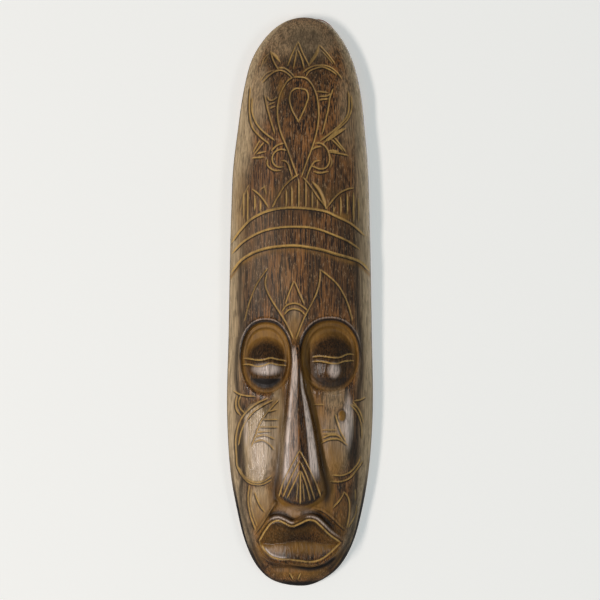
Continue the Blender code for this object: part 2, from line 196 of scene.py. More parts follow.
# The carved lines, as points (x, h) that a smooth line runs through.
THIN_LINES = [
    # the three small points at the crown, and the rays inside the middle one
    [(-2, 478), (2.5, 466.5), (8, 456)],
    [(-2, 477), (-7, 466.5), (-11, 456)],
    [(-2.5, 471), (1, 463), (3.5, 453.5)],
    [(-3, 470), (-5, 459.5), (-6, 453.5)],
    [(-26, 469.5), (-23.5, 460.5), (-19, 452.5)],
    [(17, 474.5), (24.5, 466), (30.5, 458)],
    # the double arcs under them
    [(-20, 454), (-14, 454), (-9.5, 451), (-5, 446.5)],
    [(-7, 445), (-11.5, 449.5), (-16.5, 452), (-22, 451), (-27, 447.5), (-33, 441.5)],
    [(2.5, 450), (7, 453.5), (13, 456), (19, 456.5), (25, 455.5), (31.5, 451), (36.5, 445)],
    [(5, 446.5), (8, 451), (13, 453.5), (19, 455), (26, 452.5), (32, 448.5)],
    # the tall drop shape and the small one inside it
    [(-6, 446), (-10.5, 443), (-14, 438), (-17.5, 431), (-19.5, 422.5), (-19.5, 408.5), (-16.5, 396),
     (-12, 385), (-7, 371), (-2.5, 358.5)],
    [(-6, 446), (0, 446), (5, 445), (9.5, 440.5), (13, 433.5), (15, 426), (16, 415.5), (15, 402.5),
     (11.5, 387.5), (6, 372.5), (1, 358.5)],
    [(0, 436), (5, 434.5), (7, 429), (5, 421.5), (-1.5, 406.5)],
    [(-1.5, 406.5), (-8, 419.5), (-9.5, 427.5), (-8, 432.5), (-3.5, 436), (0, 436)],
    # the horns beside the drop, with their ticks
    [(-31, 431), (-29.5, 422.5), (-27, 412.5), (-22, 396)],
    [(-29, 430), (-27, 426), (-24.5, 425.5), (-20, 428.5)],
    [(-28, 421.5), (-22, 424)],
    [(-26.5, 418.5), (-21.5, 420.5)],
    [(29, 436), (26, 428.5), (24.5, 419), (19, 396)],
    [(14, 433.5), (24.5, 432.5)],
    [(16.5, 429), (23.5, 429.5), (28, 432)],
    [(16.5, 426), (25, 427)],
    # the wings that cross below the drop
    [(-43.5, 438), (-44.5, 426), (-44, 412), (-42, 403), (-35.5, 394.5), (-27, 387.5)],
    [(-42, 429), (-42, 415.5), (-36.5, 403), (-29.5, 396), (-22, 390.5)],
    [(42, 434.5), (42.5, 422.5), (41, 412.5), (33, 402.5), (17.5, 390)],
    [(44.5, 431), (44.5, 417), (41, 408.5), (33, 400.5), (20, 387.5)],
    # the barbs
    [(-35, 391), (-41, 380.5)],
    [(-31.5, 389), (-40, 378.5)],
    [(-38, 379), (-29.5, 381)],
    [(-42, 375.5), (-30.5, 376)],
    [(29.5, 393.5), (35, 386.5), (40, 380.5)],
    [(27.5, 391.5), (37.5, 381.5)],
    [(25, 380.5), (35, 379), (42.5, 377.5)],
    # the curls
    [(-14, 388), (-19, 386.5), (-25, 381.5)],
    [(-28.5, 374.5), (-28.5, 369), (-25, 365.5), (-21, 364), (-16.5, 364.5)],
    [(-12, 382), (-17.5, 382.5), (-22.5, 379.5), (-24.5, 374.5), (-22.5, 369), (-18.5, 367),
     (-14.5, 367.5)],
    [(-16, 373), (-13, 372.5), (-10.5, 369.5), (-9, 365), (-7, 358)],
    [(13, 388), (17.5, 388), (22, 385), (25, 378), (25, 371), (22.5, 366.5), (17.5, 365.5), (10.5, 368)],
    [(10, 382), (14, 384.5), (18.5, 385)],
    [(17.5, 373), (13, 372), (9.5, 367.5), (7, 362), (5, 355.5)],
    [(11.5, 363.5), (16.5, 362), (24.5, 363.5)],
    # the tents above the bands
    [(-1, 361), (-8, 356), (-14, 350), (-19, 342), (-24.5, 332)],
    [(-16.5, 345), (-21, 338.5), (-23.5, 332.5)],
    [(2.5, 358.5), (8.5, 351), (15, 341.5), (23.5, 331)],
    [(-42, 348.5), (-35.5, 343), (-31.5, 338), (-27.5, 332)],
    [(23.5, 332), (28.5, 338.5), (35, 345), (41, 348), (47, 349.5)],
    # the leaves on the forehead and the sign between the brows
    [(-28, 279.5), (-33, 272.5), (-38.5, 264), (-42.5, 254.5), (-46, 244), (-48.5, 233.5)],
    [(-29, 274.5), (-30.5, 265.5), (-28.5, 258.5), (-24.5, 251), (-18.5, 241.5), (-12, 231), (-6, 218)],
    [(17.5, 278), (24.5, 272.5), (32, 265.5), (37.5, 257), (42, 246.5), (45.5, 233.5)],
    [(17.5, 278), (16.5, 266.5), (14, 257), (9.5, 247.5), (3.5, 236), (-3.5, 218)],
    [(-5.5, 268), (-9.5, 258), (-13, 248)],
    [(-5, 268), (-1, 258), (3.5, 248)],
    [(-15.5, 242), (-12, 246.5), (-7, 248.5), (-1.5, 248), (2.5, 245.5), (7, 242)],
    [(-14, 238.5), (-10.5, 242.5), (-5, 244), (0, 242.5), (5, 238)],
    # the closed lids
    [(-49.5, 200.5), (-43.5, 200), (-36.5, 199), (-31.5, 199.5), (-26, 201), (-19, 199.5), (-12, 198.5)],
    [(-50.5, 195), (-43.5, 195), (-37.5, 193.5), (-31.5, 194.5), (-26, 196.5), (-20, 195), (-12, 194.5)],
    [(10.5, 202), (19, 202.5), (27, 201.5), (35, 201.5), (41, 204), (47, 204)],
    [(10.5, 198), (19, 198), (26, 196.5), (32, 196), (38.5, 198), (47, 198.5)],
    # the temples
    [(-58.5, 172.5), (-54, 169.5), (-48, 168), (-39, 167.5)],
    [(-55, 168), (-56.5, 161), (-55, 154), (-51.5, 150.5)],
    [(-52, 168), (-54, 161), (-52, 156), (-48, 152.5)],
    [(47, 163.5), (52, 164), (57.5, 166.5)],
    [(45, 161), (50.5, 157)],
    # the left cheek
    [(-28, 166), (-36.5, 162), (-45.5, 155), (-51.5, 147.5), (-55, 138.5), (-56.5, 129), (-56, 117),
     (-55, 105.5), (-50.5, 97.5), (-45.5, 92.5), (-38.5, 90.5), (-31.5, 91.5), (-25, 95)],
    [(-23.5, 164.5), (-33, 159.5), (-42, 152.5), (-48, 144.5), (-52, 135), (-54, 124.5)],
    [(-54, 105.5), (-49.5, 98), (-43.5, 93.5), (-36.5, 92.5), (-29.5, 95), (-25, 98.5)],
    [(-18.5, 165), (-24.5, 158.5), (-30.5, 151.5), (-35.5, 143), (-39, 133.5), (-42.5, 124)],
    [(-29.5, 154), (-20, 156.5)],
    [(-33, 147.5), (-19, 147.5)],
    [(-35.5, 141), (-19, 141)],
    [(-37.5, 136.5), (-25, 137.5)],
    [(-39, 132), (-32, 134), (-22, 130.5)],
    [(-40, 127.5), (-33, 129.5), (-28, 127), (-22.5, 121)],
    # the right cheek
    [(43.5, 160.5), (49.5, 153.5), (53, 144), (54, 130)],
    [(46, 163), (52, 154), (55.5, 144)],
    [(28, 99), (36.5, 98.5), (43.5, 101), (49.5, 107), (53, 115)],
    [(26, 93.5), (35, 93), (43.5, 96), (49.5, 103), (55, 110.5)],
    [(30.5, 152.5), (33, 143), (35.5, 136), (40, 128)],
    [(19, 131), (26, 134), (33, 133.5), (37.5, 129)],
    [(18.5, 127), (24.5, 130), (33, 130.5), (42, 124.5)],
    # the fan on the tip of the nose
    [(-0.5, 121), (-8, 107), (-15, 92.5), (-18.5, 80.5)],
    [(-0.5, 121), (6, 109), (12, 96), (18, 80.5)],
    [(-0.5, 112.5), (-7, 99.5), (-15, 80.5)],
    [(0, 111.5), (5, 100.5), (12.5, 78.5)],
    [(-0.5, 103.5), (-5, 93.5), (-11.5, 79.5)],
    [(0.5, 103.5), (5, 91.5), (8.5, 77.5)],
    [(0, 103.5), (0, 75)],
    # the jaw and the chin
    [(-44.5, 90), (-45.5, 82), (-45.5, 73.5), (-44, 64.5), (-39, 50)],
    [(-40, 84.5), (-37.5, 77.5), (-34, 70.5), (-30.5, 66.5)],
    [(38.5, 84), (35, 77.5), (28.5, 70)],
    [(38.5, 84), (42, 78.5), (43, 70.5), (41, 52.5)],
    [(49.5, 72.5), (48.5, 63.5), (42.5, 52.5)],
    [(-9.5, 12.5), (-6, 6.5)],
    [(0.5, 12.5), (-2, 6.5)],
]

# Lines that were only scratched, or have worn away.
FAINT_LINES = [
    [(-27, 467.5), (-31.5, 462.5), (-34, 456)],
    [(-28, 465), (-31.5, 458)],
    [(-22.5, 452.5), (-29.5, 449.5), (-35, 443)],
    [(18.5, 470), (25, 462.5), (28.5, 458)],
    [(26.5, 377), (27.5, 371), (26, 366.5)],
    [(-35, 347.5), (-29.5, 351)],
    [(-31.5, 352.5), (-29.5, 343)],
    [(-44.5, 352.5), (-49.5, 342), (-52, 330)],
    [(18.5, 138.5), (32, 138.5)],
    [(19, 135), (33, 135.5)],
    [(11.5, 160.5), (21, 160.5)],
    [(48, 86.5), (48.5, 76)],
    [(-42.5, 88), (-43.5, 77.5), (-41.5, 64.5), (-37.5, 54)],
    [(-2, 93.5), (-3.5, 77.5)],
    [(2, 93.5), (3.5, 77.5)],
]

# Short wide cuts that taper to a point at both ends.
WIDE_CUTS = [
    [(-26, 469.5), (-17.5, 459.5)],
    [(16.5, 474.5), (14, 466.5), (7.5, 456)],
    [(25, 381.5), (33, 381)],
    [(10.5, 354.5), (16.5, 346.5), (22.5, 331)],
    [(40, 401.5), (33, 397), (24, 390)],
]

# The upright hatching under the tents: x, lower end, upper end.
FRINGE = [
    (-49.6, 323, 345.5), (-46, 319.5, 347.5), (-39.6, 330, 343), (-34.8, 329, 338.5), (-12.2, 333, 347.5),
    (-7.4, 332.5, 351), (-1.3, 331.5, 357), (4.8, 331, 355.5), (10.4, 331, 347.5), (14.8, 331, 339.5),
    (29.2, 327, 334), (35.2, 325.5, 341.5), (41, 326.5, 344.5), (46.5, 319.5, 345.5), (51, 319.5, 340.5),
]

# The three bands round the forehead.
BANDS = [
    [(-60, 302), (-52, 312.5), (-43.5, 321), (-33, 327), (-21, 330.5), (-1, 331.5), (10.5, 330.5),
     (22, 328.5), (33, 323.5), (43.5, 318.5), (56.5, 308)],
    [(-60, 292), (-50.5, 301.5), (-41, 307.5), (-30.5, 312), (-17.5, 314.5), (-2.5, 315), (8.5, 314.5),
     (19, 312), (30.5, 307.5), (41, 303), (52, 296)],
    [(-60.5, 275), (-52, 285.5), (-42, 292), (-30.5, 296), (-17.5, 298), (-2.5, 298.5), (8.5, 297),
     (19, 295), (30.5, 291.5), (43.5, 288), (52, 285), (61, 277)],
]

# The dark edge between the carved front and each side, from the bands down to the chin.
SIDE_EDGES = [
    [(-52, 285), (-53, 252), (-52, 226), (-55, 208), (-55.5, 182), (-53, 165), (-50, 143), (-50.5, 121),
     (-49, 104), (-52, 86), (-51, 69), (-46, 51.5), (-39, 30), (-31, 15)],
    [(49.5, 285), (50.5, 252), (53, 217), (54, 191), (51, 165), (50, 139), (49.5, 112), (49, 86),
     (48.5, 64.5), (43.5, 43), (35, 27), (26, 15)],
]

# Folds that stand up from the nose's wings to the corners of the mouth.
FOLDS = [
    [(-40, 46.5), (-35, 53.5), (-30, 61.5), (-26, 68.5), (-21.5, 75)],
    [(12.5, 70.5), (21, 67), (28, 61.5), (34, 55.5), (41.5, 48.5)],
]


def to_frame(x, depth, h):
    """Points of the mask, in millimetres, as metres in the frame."""
    return np.stack([x / 1000, RIM_Y - depth / 1000, CHIN_Z + h / 1000], axis=-1)


def step(low, high, value):
    """A smooth ramp from 0 at low to 1 at high."""
    t = np.clip((value - low) / (high - low), 0.0, 1.0)
    return t * t * (3.0 - 2.0 * t)


def hill(value, width):
    """A smooth hill, 1 where the value is 0."""
    return np.exp(-((value / width) ** 2))


def through(points, column, where):
    """A smooth curve of one column of a table against its first column."""
    table = np.array(points, dtype=float)
    xs = table[:, 0]
    ys = table[:, column]
    slopes = np.gradient(ys, xs)
    where = np.clip(where, xs[0], xs[-1])
    i = np.clip(np.searchsorted(xs, where) - 1, 0, len(xs) - 2)
    gap = xs[i + 1] - xs[i]
    t = (where - xs[i]) / gap
    start = ys[i] * (1 + 2 * t) * (1 - t) ** 2 + slopes[i] * gap * t * (1 - t) ** 2
    end = ys[i + 1] * t**2 * (3 - 2 * t) + slopes[i + 1] * gap * t**2 * (t - 1)
    return start + end


def round_ended(points, column, h):
    """The same, measured along a half turn from chin to crown, so that both ends come out round."""
    table = np.array(points, dtype=float)
    table[:, 0] = np.arccos(1 - 2 * np.clip(table[:, 0] / HEIGHT, 0, 1))
    return through(table, column, np.arccos(1 - 2 * np.clip(h / HEIGHT, 0, 1)))


def along_curve(corners, gap):
    """Points of a smooth curve through the corners, about one gap apart."""
    corners = np.array(corners, dtype=float)
    length = np.concatenate([[0.0], np.cumsum(np.linalg.norm(np.diff(corners, axis=0), axis=1))])
    if len(corners) == 2:
        corners = np.array([corners[0], corners.mean(axis=0), corners[1]])
        length = np.array([0.0, length[-1] / 2, length[-1]])
    table = np.column_stack([length, corners])
    where = np.linspace(0, length[-1], max(3, math.ceil(length[-1] / gap) + 1))
    return np.column_stack([through(table, column, where) for column in (1, 2)])


def oval(x, h, centre_x, centre_h, half_width, half_height, power=2.0):
    """0 at the centre of an oval and 1 on its edge."""
    across_it = np.abs((x - centre_x) / half_width) ** power
    up_it = np.abs((h - centre_h) / half_height) ** power
    return (across_it + up_it) ** (1 / power)


def rim_ease(h):
    """How far the back rim is cut forward of its plane at a height."""
    return RIM_EASE * step(EASE_FROM, EASE_TO, h)


def across(u):
    """The cross-section's height, from 1 in the middle to 0 at both edges."""
    return np.clip(1 - np.abs(u) ** SECTION_POWER, 0.0, 1.0) ** SECTION_CORNER


class Surface:
    """The front of the mask: where each point is, how far it is carved, and how it is stained."""

    def __init__(self, x, h, u):
        self.x = x
        self.h = h
        self.u = u
        self.relief = np.zeros_like(x)
        self.cut = np.zeros_like(x)
        self.tones = {name: np.zeros_like(x) for name in TONES}

    def tint(self, name, amount, chosen=slice(None)):
        """Raises a tone to the amount given, wherever it is lower."""
        tone = self.tones[name]
        tone[chosen] = np.maximum(tone[chosen], amount)

    def near(self, route, reach):
        """Which points lie near a route, how far from it each is, how far along, and on which side."""
        low = route.min(axis=0) - reach
        high = route.max(axis=0) + reach
        chosen = (self.x > low[0]) & (self.x < high[0]) & (self.h > low[1]) & (self.h < high[1])
        points = np.column_stack([self.x[chosen], self.h[chosen]])
        starts = route[:-1]
        runs = np.diff(route, axis=0)
        lengths = np.linalg.norm(runs, axis=1)
        gone = np.concatenate([[0.0], np.cumsum(lengths)])
        best = np.full(len(points), np.inf)
        along = np.zeros(len(points))
        offset = np.zeros_like(points)
        for start, run, length, before in zip(starts, runs, lengths, gone):
            t = np.clip((points - start) @ run / length**2, 0, 1)
            away = points - (start + t[:, None] * run)
            distance = np.hypot(away[:, 0], away[:, 1])
            closer = distance < best
            best = np.where(closer, distance, best)
            along = np.where(closer, before + t * length, along)
            offset[closer] = away[closer]
        return chosen, best, along, gone[-1], offset

    def carve(self, corners, width, depth, taper, bareness, stain):
        """A cut along a line: a wide wall of bare wood, and a steep wall, lower left, with painted shade on
        it.
        """
        route = along_curve(corners, 2.0)
        chosen, distance, along, total, offset = self.near(route, width + 1.5)
        ends = np.minimum(along, total - along) / taper
        narrow = np.clip(ends + 0.25, 0.25, 1.0)
        steep = step(-0.5, 0.5, offset @ STEEP_SIDE / np.maximum(distance, 0.05))
        half = width * narrow * (BARE_SHARE + (1 - 2 * BARE_SHARE) * steep)
        self.cut[chosen] = np.maximum(self.cut[chosen], depth * narrow * np.clip(1 - distance / half, 0, 1))
        bare = 1 - step(0.7, 1.15, distance / (half * (1 - 0.35 * steep)))
        self.tint("line", bareness * bare, chosen)
        # Painted shade on the steep wall.
        steep_wall_shade = step(0.25, 0.7, distance) * (1 - step(0.4, 1.3, distance - half)) * steep * narrow
        self.tint("dark", stain * steep_wall_shade, chosen)

    def press(self, corners, width, amount, stain):
        """Raises or lowers a soft band along a line, and can darken it."""
        route = along_curve(corners, 2.0)
        chosen, distance, _, _, _ = self.near(route, width * 2.5)
        soft = hill(distance, width)
        self.relief[chosen] += amount * soft
        self.tint("dark", stain * soft, chosen)


def carve_socket(face, edge, high, ball):
    """A sunk socket, with a ridge over its upper edge and an eyeball that swells out of it."""
    deep = SOCKET_DEPTH + SOCKET_LEAN * high
    wall = 1 - step(0.90, 1.0 - 0.03 * high, edge)
    ring = 1 - step(0.72, 0.84, edge)
    swell = np.clip(1 - (ball / 1.3) ** 2, 0, 1) ** 1.4
    face.relief += EYEBALL_BULGE * swell - deep * (0.7 * wall + 0.3 * ring)
    face.relief += 0.9 * hill(edge - 1.05, 0.045) * step(-0.2, 0.5, high)


def stain_shade_and_highlight_eye(face, edge, high, ball, from_lid, shade_under_ball):
    """A bare socket with a dark upper edge, and an eyeball that is dark above and below its shiny lids."""
    inside = 1 - step(0.93, 0.99, edge)
    near_ball = 1 - step(0.9, 1.35, ball)
    face.tint("ochre", inside * (1 - 0.8 * near_ball))
    face.tint("dark", inside * 0.62 * near_ball)
    face.tint("dark", hill(edge - 0.995, 0.045) * step(-0.55, 0.15, high))
    face.tint("dark", 0.40 * hill(edge - 0.80, 0.03))
    on_ball = 1 - step(0.92, 1.2, ball)
    # Painted shade on the eyeball's underside.
    face.tint("dark", on_ball * (1 - step(-0.62, -0.44, from_lid)) * shade_under_ball)
    face.tint("dark", on_ball * 0.78 * step(0.05, 0.4, from_lid))
    shiny = (1 - step(0.8, 1.1, ball)) * step(-0.7, -0.45, from_lid)
    face.tint("polish", np.maximum(shiny, hill(edge - 1.06, 0.07)))
    # A painted highlight along the socket's upper rim.
    face.tint("worn", 0.35 * hill(edge - 1.05, 0.016) * step(0.1, 0.6, high))


def carve_eyes(face):
    """Both eyes. edge is 1 on the border of the socket, and ball is 1 on the border of the eyeball."""
    for centre_x, centre_h, wide, tall, ball_x, ball_h, ball_wide, ball_tall, shade_under_ball in EYES:
        edge = oval(face.x, face.h, centre_x, centre_h, wide, tall, 2.2)
        high = np.clip((face.h - centre_h) / tall, -1, 1)
        ball = oval(face.x, face.h, ball_x, ball_h, ball_wide, ball_tall)
        carve_socket(face, edge, high, ball)
        stain_shade_and_highlight_eye(face, edge, high, ball, (face.h - ball_h) / ball_tall, shade_under_ball)


def carve_nose(face):
    """A roof-shaped nose: two planes falling from the ridge to a bevelled edge, then steep sides."""
    side = face.x - through(NOSE, 1, face.h)
    width = np.where(side < 0, through(NOSE, 2, face.h), through(NOSE, 3, face.h))
    out = np.abs(side) / width
    roof = np.where(side < 0, through(NOSE_LEFT, 1, out), through(NOSE_RIGHT, 1, out))
    base = NOSE_BASE + NOSE_BASE_RISE * (side / NOSE_HALF) ** 2
    stands = step(base - 6.0, base + 1.5, face.h)
    face.relief += through(NOSE, 4, face.h) * roof * stands
    along = step(66, 80, face.h) * (1 - step(185, 205, face.h))
    beside = hill(np.abs(side) - width - 2.0, 6.0)
    face.relief -= NOSE_VALLEY * beside * along
    bare = np.where(side < 0, 0.35, 0.85) * hill(np.abs(side) - width - 3.0, 4.0) * along
    face.tint("ochre", bare)
    # Painted shade along the foot of the nose.
    foot = hill(out - 0.98, 0.14) * along * (0.8 - 0.35 * step(105, 140, face.h))
    face.tint("dark", foot)
    under = step(base - 16.0, base - 8.0, face.h) * (1 - step(base - 1.5, base + 0.5, face.h))
    face.tint("ochre", 0.9 * under * (1 - step(20, 26, np.abs(side))))
    tip = hill(face.h - base - 2.2, 1.9) * (1 - step(18, 23, np.abs(side)))
    face.tint("dark", 0.9 * tip)
    on_nose = (1 - step(0.95, 1.1, out)) * step(90, 110, face.h) * (1 - step(205, 222, face.h))
    face.tint("polish", on_nose)


def wear_shade_and_highlight_nose(face):
    """Rubs the nose's two edges and upper ridge pale, and paints shade on the right plane beside the ridge.

    The rubbed bands also carry part of the photo's highlights, as its lights aren't known exactly.
    """
    side = face.x - through(NOSE, 1, face.h)
    left_out = -side / through(NOSE, 2, face.h)
    right_out = side / through(NOSE, 3, face.h)
    lower = step(86, 104, face.h)
    left_edge = hill(left_out - 0.60, 0.12) * lower * (1 - step(168, 190, face.h))
    right_edge = 1 - step(0.12, 0.22, np.abs(right_out - 0.64))
    right_edge = right_edge * step(92, 110, face.h) * (1 - step(182, 192, face.h))
    ridge = step(0.0, 0.12, left_out) * (1 - step(0.62, 0.80, left_out))
    ridge = ridge * step(145, 185, face.h) * (1 - step(205, 214, face.h))
    roof = step(0.0, 0.1, left_out) * (1 - step(0.45, 0.6, left_out)) * lower * (1 - step(160, 185, face.h))
    # Pale wear that also stands for painted highlights on the edges, ridge and roof.
    for worn in (left_edge, right_edge, 0.7 * ridge, 0.3 * roof):
        face.tint("worn", worn)
    shaded = step(0.0, 0.08, right_out) * (1 - step(0.42, 0.52, right_out))
    shaded = shaded * step(88, 100, face.h) * (1 - step(212, 220, face.h))
    face.tint("dark", 0.65 * shaded)
    outer_left = step(0.72, 0.85, left_out) * (1 - step(1.0, 1.1, left_out)) * lower
    face.tint("dark", 0.3 * outer_left * (1 - step(165, 180, face.h)))


def carve_cheeks(face):
    """Two raised ovals, each with a softer edge towards the nose."""
    for *place, crisp, pale_and_sheen, gloss in CHEEKS:
        out = oval(face.x, face.h, *place, 2.6)
        by_nose = step(0.1, 0.5, (place[0] - face.x) / place[2] * np.sign(place[0]))
        soft = crisp + (0.35 - crisp) * by_nose
        inside = 1 - step(soft, 1.06 + 0.25 * by_nose, out)
        face.relief += CHEEK_RISE * inside
        face.tint("polish", gloss * inside)
        # Pale wood, which also stands for painted sheen.
        face.tint("pale", pale_and_sheen * inside)


def carve_knot(face):
    """A small knot, cut bare, in the right cheek."""
    out = oval(face.x, face.h, *KNOT)
    face.relief += 0.9 * (1 - step(0.4, 1.0, out)) - 0.5 * hill(out - 1.25, 0.25)
    face.tint("ochre", 1 - step(0.8, 1.1, out))
    face.tint("dark", 0.6 * hill(out - 1.25, 0.25))
    face.tones["dark"][out < 1] = 0.0
    face.tones["worn"] *= step(1.0, 1.3, out)


def mouth_edge(face):
    """How far each point is outside the lips' border, and less than 0 inside it."""
    route = np.vstack([along_curve(UPPER_LIP, 2.0), along_curve(LOWER_LIP, 2.0)[::-1]])
    edge = np.full_like(face.x, 99.0)
    chosen, distance, _, _, _ = face.near(route, 14.0)
    x = face.x[chosen]
    h = face.h[chosen]
    inside = (h < through(UPPER_LIP, 1, x)) & (h > through(LOWER_LIP, 1, x)) & (np.abs(x) < MOUTH_CORNER)
    edge[chosen] = np.where(inside, -distance, distance)
    return edge


def carve_mouth(face):
    """Two lips that fall back to the parting between them, inside a raised outer rim."""
    edge = mouth_edge(face)
    parting = PARTING + 1.5 * np.cos(face.x / 9)
    border = np.where(face.h > parting, through(UPPER_LIP, 1, face.x), through(LOWER_LIP, 1, face.x))
    out = np.abs(face.h - parting) / np.maximum(np.abs(border - parting), 2.0)
    open_width = np.sqrt(np.clip(1 - (face.x / MOUTH_HALF) ** 2, 0, 1))
    upper = step(-1.5, 1.5, face.h - parting)
    inner = np.where(edge < 0, 0.28 + 0.72 * np.clip(out, 0, 1) ** 0.85, 1.0)
    face.relief += LIP_RISE * inner * (1 - step(3.4, 6.4, edge)) * open_width
    face.relief += hill(edge - 3.4, 1.2) * open_width * (0.4 + 0.8 * upper)
    stain_lips(face, edge, out, upper, parting)
    shade_and_highlight_round_mouth(face, edge, upper)


def stain_lips(face, edge, out, upper, parting):
    """The upper lip is darkest in its middle; the lower lip is bare near the parting."""
    within = 1 - step(-1.0, 0.5, edge)
    middle = hill(face.x - 1.0, 15.0)
    face.tint("dark", within * (0.15 + 0.2 * upper + 0.35 * upper * middle + 0.3 * step(0.6, 0.9, out)))
    seam = hill(face.h - parting - 2.0, 5.0) * (1 - step(8, 20, np.abs(face.x)))
    face.tint("dark", 0.6 * within * seam)
    face.tint("ochre", 0.8 * within * (1 - upper) * (1 - step(0.35, 0.8, out)))
    face.tint("ochre", 0.4 * within * upper * (1 - middle))


def shade_and_highlight_round_mouth(face, edge, upper):
    """A dark groove round the lips, a shiny rim with painted highlights, and painted shade beyond it."""
    face.tint("dark", 0.85 * hill(edge - 1.6, 0.8) * (0.4 + 0.6 * upper))
    face.tint("polish", 1 - step(3.5, 6.0, edge))
    # Painted highlights on the rim over the upper lip and inside the lower lip's border.
    rim = hill(edge - 3.5, 0.75) * step(42, 50, face.h) * step(4, 8, np.abs(face.x))
    rim = rim * (1 - step(22, 28, -face.x)) * (1 - 0.4 * step(18, 26, face.x))
    inner_lip_highlight = hill(edge + 2.0, 0.7) * (1 - step(34, 37, face.h)) * step(10, 15, -face.x)
    face.tint("worn", np.maximum(0.95 * rim, 0.7 * inner_lip_highlight))
    # Painted shade in the hollow over the upper lip, and a painted shadow under the lower lip.
    outside = step(4.4, 5.6, edge) * (1 - step(7.0, 10.0, edge))
    face.tint("dark", 0.85 * outside * step(50, 56, face.h) * (1 - step(24, 32, np.abs(face.x))))
    face.tint("dark", outside * (1 - step(24, 30, face.h)) * (0.5 + 0.5 * step(-14, 4, face.x)))


def carve_under_nose(face):
    """The hollow over the upper lip, with a small bare spur in its middle, and the cut under the lower."""
    middle = face.x + 3.5
    hollow = hill(face.h - 65.5, 4.0) * (1 - step(20, 30, np.abs(middle)))
    face.relief -= 2.4 * hollow
    spur = 1 - step(0.5, 1.1, oval(face.x, face.h, -4.0, 66.0, 7.5, 6.0))
    face.relief += 2.0 * spur
    # Painted shade in the hollow.
    face.tint("dark", 0.6 * hill(face.h - 62.0, 2.6) * (1 - step(20, 27, np.abs(middle))))
    face.tones["dark"] *= 1 - 0.9 * spur
    face.tint("ochre", spur)
    face.relief -= 2.5 * hill(face.h - 17.5, 3.5) * (1 - step(18, 32, np.abs(face.x)))


def carve_lines(face):
    lips = [UPPER_LIP, LOWER_LIP]
    kinds = [(THIN_LINES, THIN_CUT), (FAINT_LINES, FAINT_CUT), (WIDE_CUTS, WIDE_CUT), (lips, LIP_CUT)]
    for lines, cut in kinds:
        for corners in lines:
            face.carve(corners, *cut)
    for x, low, high in FRINGE:
        face.carve([(x, low), (x, high)], *FRINGE_CUT)
    for corners, width in zip(BANDS, BAND_WIDTHS):
        face.carve(corners, width, *BAND_CUT)
    for corners in SIDE_EDGES:
        face.press(corners, 2.4, -0.7, 0.75)
    for corners in FOLDS:
        face.press(corners, 2.0, 1.8, 0.0)
        face.carve(corners, *FOLD_CUT)


def sink_headband(face):
    """The wood between the first band and the third is cut back a little, and is darker."""
    upper = through(BANDS[0], 1, face.x)
    lower = through(BANDS[2], 1, face.x)
    between = step(lower - 0.6, lower + 0.8, face.h) * (1 - step(upper - 0.8, upper + 0.6, face.h))
    face.relief -= 1.1 * between
    face.tint("dark", 0.12 * between)
    rubbed = hill(face.h - lower + 3.0, 2.2) * (0.35 + 0.5 * step(25, 50, np.abs(face.x)))
    face.tint("ochre", rubbed)


# Ovals of bare golden wood: x, h, half-width, half-height, strength.
OCHRE_PATCHES = [
    (-33.0, 62.0, 10.0, 26.0, 0.75),
    (-24.0, 75.0, 9.0, 24.0, 0.6),
    (24.0, 85.0, 9.0, 30.0, 0.85),
    (29.0, 112.0, 11.0, 20.0, 0.7),
    (17.0, 150.0, 6.0, 22.0, 0.6),
    (0.0, 14.0, 30.0, 9.0, 0.6),
    (33.0, 26.0, 8.0, 12.0, 0.7),
    (-36.0, 30.0, 8.0, 14.0, 0.6),
    (37.0, 324.0, 9.0, 4.0, 0.8),
    (-16.5, 435.0, 4.0, 11.0, 0.5),
    (-21.0, 158.0, 6.0, 12.0, 0.6),
    (16.0, 344.0, 3.0, 10.0, 0.6),
    (-5.0, 226.0, 8.0, 14.0, 0.6),
    (0.0, 60.0, 28.0, 16.0, 0.6),
    (36.0, 60.0, 9.0, 26.0, 0.35),
    (-52.0, 330.0, 7.0, 40.0, 0.35),
    (0.0, 342.0, 46.0, 13.0, 0.25),
]

# Darker ovals, in the same way. The narrow one beside the left cheek is painted shade in the groove there.
DARK_PATCHES = [
    (33.0, 260.0, 16.0, 24.0, 0.35),
    (28.0, 226.0, 20.0, 12.0, 0.35),
    (4.0, 464.0, 18.0, 13.0, 0.6),
    (0.0, 422.0, 16.0, 22.0, 0.4),
    (4.0, 480.0, 26.0, 14.0, 0.5),
    (-8.0, 462.0, 12.0, 7.0, 0.5),
    (38.0, 300.0, 16.0, 14.0, 0.35),
    (47.0, 120.0, 7.0, 26.0, 0.7),
    (-53.0, 122.0, 3.6, 34.0, 0.85),
    (-51.0, 250.0, 6.0, 44.0, 0.35),
    (-50.0, 62.0, 5.0, 26.0, 0.5),
    (47.0, 78.0, 6.0, 22.0, 0.55),
    (-38.0, 358.0, 16.0, 30.0, 0.3),
    (33.0, 75.0, 9.0, 14.0, 0.2),
    (44.0, 46.0, 6.0, 22.0, 0.5),
    (-45.0, 40.0, 5.0, 22.0, 0.5),
    (-50.0, 222.0, 6.0, 20.0, 0.5),
    (0.0, 86.0, 16.0, 12.5, 0.85),
]

# Ovals of paler wood, in the same way. The two on the right cheek also stand for painted sheen.
PALE_AND_SHEEN_PATCHES = [
    (-14.0, 262.0, 15.0, 40.0, 0.12),
    (40.0, 142.0, 10.0, 22.0, 0.5),
    (-5.0, 228.0, 9.0, 12.0, 0.25),
    (-19.5, 138.0, 7.0, 50.0, 1.0),
    (24.0, 100.0, 7.0, 24.0, 0.45),
    (-5.0, 236.0, 7.0, 14.0, 0.5),
    (-35.0, 76.0, 12.0, 20.0, 0.9),
    (30.0, 166.0, 13.0, 16.0, 0.55),
    (44.0, 420.0, 14.0, 50.0, 0.42),
    (-52.0, 400.0, 14.0, 60.0, 0.9),
    (-36.0, 300.0, 20.0, 60.0, 0.12),
    (-38.0, 432.0, 13.0, 40.0, 0.6),
    (0.0, 480.0, 40.0, 24.0, 0.6),
]

